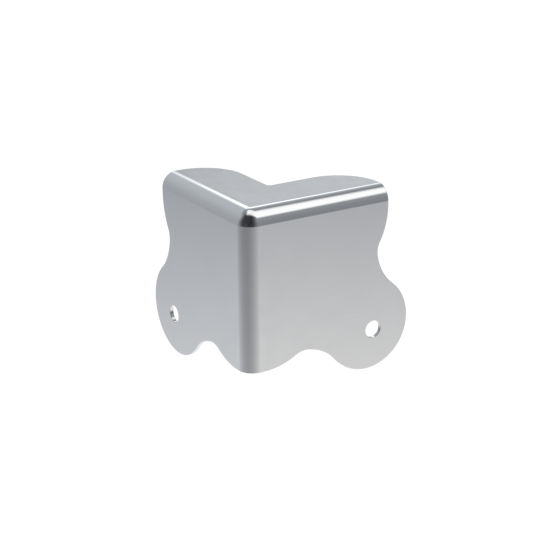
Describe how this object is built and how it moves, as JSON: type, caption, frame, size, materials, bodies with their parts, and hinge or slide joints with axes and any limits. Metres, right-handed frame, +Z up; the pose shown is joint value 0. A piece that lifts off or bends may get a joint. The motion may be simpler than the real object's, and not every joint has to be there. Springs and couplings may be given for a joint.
{
  "type": "case corner protector",
  "caption": "Three-sided pressed steel corner for a box or case, with a round lobe and a screw hole on each side wall and an L-shaped top flange.",
  "frame": {"origin": "the case's own corner, where the planes of the three inside faces meet", "axes": "+X along the right wall's top bend, +Y along the left wall's top bend, +Z up out of the top flange; the case fills +X, +Y and -Z"},
  "size_m": [0.0457, 0.0457, 0.0457],
  "materials": {
    "plated_steel": "bright nickel or zinc plating over pressed steel sheet, smooth with a faint rolled grain"
  },
  "bodies": {
    "root": {"corner_shell": "plated_steel"}
  },
  "joints": []
}
